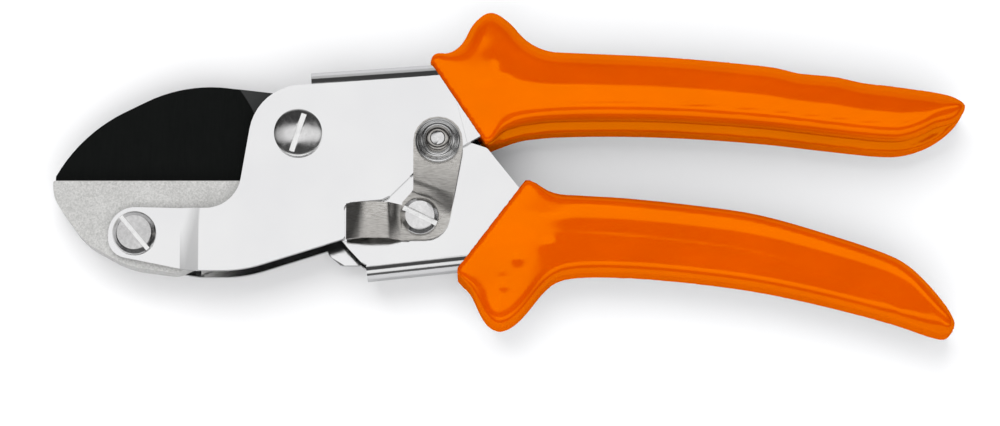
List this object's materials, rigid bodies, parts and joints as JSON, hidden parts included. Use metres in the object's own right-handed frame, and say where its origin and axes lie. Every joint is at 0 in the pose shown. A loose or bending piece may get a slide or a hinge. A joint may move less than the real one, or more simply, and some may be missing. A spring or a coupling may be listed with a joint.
{
  "type": "pruning shears",
  "caption": "Anvil pruning shears with pressed-steel channel handles, dipped orange grips, coated blade, aluminium anvil and a thumb latch.",
  "frame": {"origin": "on the pivot axis, at the lower end face of the pivot bolt, which is level with the faces that the tool lies on", "axes": "+X from the jaws to the grips along the tool's length, +Y from the lower handle to the upper handle, +Z along the pivot axis out of the latch side"},
  "size_m": [0.2053, 0.0738, 0.0215],
  "materials": {
    "plated_steel": "bright plated pressed sheet, polished, thin dark sheared edges",
    "orange_vinyl": "glossy dipped vinyl, slightly wavy",
    "anvil_aluminium": "bead-blasted, fine grain",
    "turned_steel": "turned and polished, fine concentric marks",
    "zinc_steel": "zinc-plated, satin",
    "spring_steel": "drawn wire, lightly oiled",
    "black_coating": "matt black low-friction coating over ground steel",
    "bronze": "sintered bearing bronze, satin",
    "latch_steel": "satin brushed stainless sheet"
  },
  "bodies": {
    "upper_handle": {"upper_frame": "plated_steel", "upper_grip": "orange_vinyl", "anvil": "anvil_aluminium", "anvil_screw": "turned_steel", "anvil_washer": "zinc_steel", "anvil_nut": "zinc_steel", "pivot_bolt": "turned_steel", "pivot_washer": "zinc_steel", "pivot_nut": "zinc_steel", "spring_seat_upper": "zinc_steel", "handle_spring": "spring_steel"},
    "lower_handle": {"lower_frame": "plated_steel", "lower_grip": "orange_vinyl", "blade": "black_coating", "blade_pin": "zinc_steel", "pivot_bush": "bronze", "blade_spacer_front": "bronze", "blade_spacer_back": "bronze", "spring_seat_lower": "zinc_steel", "latch_screw": "turned_steel", "latch_nut": "zinc_steel"},
    "latch": {"latch_washer": "zinc_steel", "latch_lever": "latch_steel", "latch_knob": "turned_steel", "knob_rivet": "turned_steel"}
  },
  "joints": [
    {"name": "handle_hinge", "type": "hinge", "parent": "upper_handle", "child": "lower_handle", "pos_m": [0, 0, 0.009], "axis": [0, 0, -1], "range_deg": [0, 32], "deforming": ["handle_spring"]},
    {"name": "latch_hinge", "type": "hinge", "parent": "lower_handle", "child": "latch", "pos_m": [0.0274, -0.0188, 0.0145], "axis": [0, 0, 1], "range_deg": [0, 25]}
  ]
}
